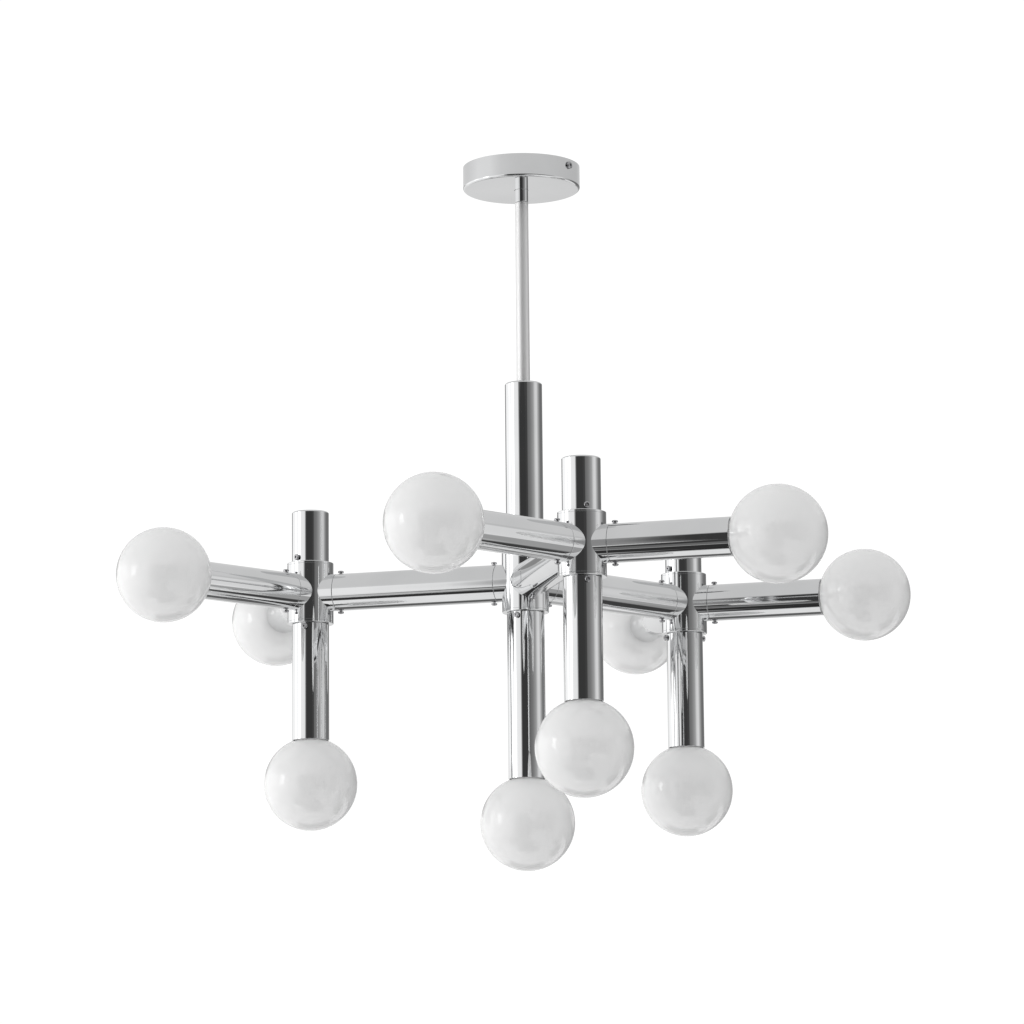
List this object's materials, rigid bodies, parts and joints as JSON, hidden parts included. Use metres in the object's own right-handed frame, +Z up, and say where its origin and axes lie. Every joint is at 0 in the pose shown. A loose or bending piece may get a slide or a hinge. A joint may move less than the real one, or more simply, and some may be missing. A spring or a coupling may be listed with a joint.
{
  "type": "multi arm chandelier",
  "caption": "Ceiling chandelier of chromed tubes on cylindrical hubs, with level and hanging arms that each end in a round opal globe bulb.",
  "frame": {"origin": "middle of the ceiling face of the mounting bracket, which is level with the canopy rim", "axes": "+Z up into the ceiling; the front side hub is towards -Y, and the fixture repeats every 120 degrees about Z"},
  "size_m": [0.827, 0.729, 0.7245],
  "materials": {
    "polished_chrome": "mirror-polished chrome plate",
    "satin_chrome": "pale satin chrome plate",
    "opal_glass": "glossy opal white glass",
    "screw_steel": "nickel-plated steel",
    "zinc_plate": "zinc-plated sheet steel",
    "holder_porcelain": "unglazed white porcelain",
    "terminal_plastic": "white moulded plastic"
  },
  "bodies": {
    "fixture": {"mounting_bracket": "zinc_plate", "terminal_block": "terminal_plastic", "rod_collar": "polished_chrome", "rod": "satin_chrome", "stem_tube": "polished_chrome", "hub_center": "polished_chrome", "hub_front": "polished_chrome", "hub_right": "polished_chrome", "hub_left": "polished_chrome", "link_tube_front": "polished_chrome", "link_tube_right": "polished_chrome", "link_tube_left": "polished_chrome", "top_tube_front": "polished_chrome", "top_tube_right": "polished_chrome", "top_tube_left": "polished_chrome", "arm_tube_front_left": "polished_chrome", "arm_tube_front_right": "polished_chrome", "arm_tube_right_front": "polished_chrome", "arm_tube_right_back": "polished_chrome", "arm_tube_left_back": "polished_chrome", "arm_tube_left_front": "polished_chrome", "drop_tube_front": "polished_chrome", "drop_tube_right": "polished_chrome", "drop_tube_left": "polished_chrome", "drop_tube_center": "polished_chrome", "lamp_holder_front_left": "holder_porcelain", "lamp_holder_front_right": "holder_porcelain", "lamp_holder_front_drop": "holder_porcelain", "lamp_holder_right_front": "holder_porcelain", "lamp_holder_right_back": "holder_porcelain", "lamp_holder_right_drop": "holder_porcelain", "lamp_holder_left_back": "holder_porcelain", "lamp_holder_left_front": "holder_porcelain", "lamp_holder_left_drop": "holder_porcelain", "lamp_holder_center_drop": "holder_porcelain", "arm_screw_front_left_top": "screw_steel", "arm_screw_front_left_bottom": "screw_steel", "arm_screw_front_right_top": "screw_steel", "arm_screw_front_right_bottom": "screw_steel", "arm_screw_right_front_top": "screw_steel", "arm_screw_right_front_bottom": "screw_steel", "arm_screw_right_back_top": "screw_steel", "arm_screw_right_back_bottom": "screw_steel", "arm_screw_left_back_top": "screw_steel", "arm_screw_left_back_bottom": "screw_steel", "arm_screw_left_front_top": "screw_steel", "arm_screw_left_front_bottom": "screw_steel"},
    "canopy": {"canopy": "polished_chrome", "canopy_screw_right": "screw_steel", "canopy_screw_left": "screw_steel"},
    "bulb_front_left": {"bulb_front_left": "opal_glass"},
    "bulb_front_right": {"bulb_front_right": "opal_glass"},
    "bulb_front_drop": {"bulb_front_drop": "opal_glass"},
    "bulb_right_front": {"bulb_right_front": "opal_glass"},
    "bulb_right_back": {"bulb_right_back": "opal_glass"},
    "bulb_right_drop": {"bulb_right_drop": "opal_glass"},
    "bulb_left_back": {"bulb_left_back": "opal_glass"},
    "bulb_left_front": {"bulb_left_front": "opal_glass"},
    "bulb_left_drop": {"bulb_left_drop": "opal_glass"},
    "bulb_center_drop": {"bulb_center_drop": "opal_glass"}
  },
  "joints": [
    {"name": "canopy_slide", "type": "slide", "parent": "fixture", "child": "canopy", "axis": [0, 0, 1], "range_m": [-0.18, 0]},
    {"name": "bulb_front_left_turn", "type": "hinge", "parent": "fixture", "child": "bulb_front_left", "pos_m": [-0.16714, -0.3265, -0.432], "axis": [-0.866, -0.5, 0], "range_deg": [0, 990]},
    {"name": "bulb_front_right_turn", "type": "hinge", "parent": "fixture", "child": "bulb_front_right", "pos_m": [0.16714, -0.3265, -0.432], "axis": [0.866, -0.5, 0], "range_deg": [0, 990]},
    {"name": "bulb_front_drop_turn", "type": "hinge", "parent": "fixture", "child": "bulb_front_drop", "pos_m": [0, -0.23, -0.628], "axis": [0, 0, -1], "range_deg": [0, 990]},
    {"name": "bulb_right_front_turn", "type": "hinge", "parent": "fixture", "child": "bulb_right_front", "pos_m": [0.36633, 0.0185, -0.432], "axis": [0.866, -0.5, 0], "range_deg": [0, 990]},
    {"name": "bulb_right_back_turn", "type": "hinge", "parent": "fixture", "child": "bulb_right_back", "pos_m": [0.19919, 0.308, -0.432], "axis": [0, 1, 0], "range_deg": [0, 990]},
    {"name": "bulb_right_drop_turn", "type": "hinge", "parent": "fixture", "child": "bulb_right_drop", "pos_m": [0.19919, 0.115, -0.628], "axis": [0, 0, -1], "range_deg": [0, 990]},
    {"name": "bulb_left_back_turn", "type": "hinge", "parent": "fixture", "child": "bulb_left_back", "pos_m": [-0.19919, 0.308, -0.432], "axis": [0, 1, 0], "range_deg": [0, 990]},
    {"name": "bulb_left_front_turn", "type": "hinge", "parent": "fixture", "child": "bulb_left_front", "pos_m": [-0.36633, 0.0185, -0.432], "axis": [-0.866, -0.5, 0], "range_deg": [0, 990]},
    {"name": "bulb_left_drop_turn", "type": "hinge", "parent": "fixture", "child": "bulb_left_drop", "pos_m": [-0.19919, 0.115, -0.628], "axis": [0, 0, -1], "range_deg": [0, 990]},
    {"name": "bulb_center_drop_turn", "type": "hinge", "parent": "fixture", "child": "bulb_center_drop", "pos_m": [0, 0, -0.677], "axis": [0, 0, -1], "range_deg": [0, 990]}
  ]
}
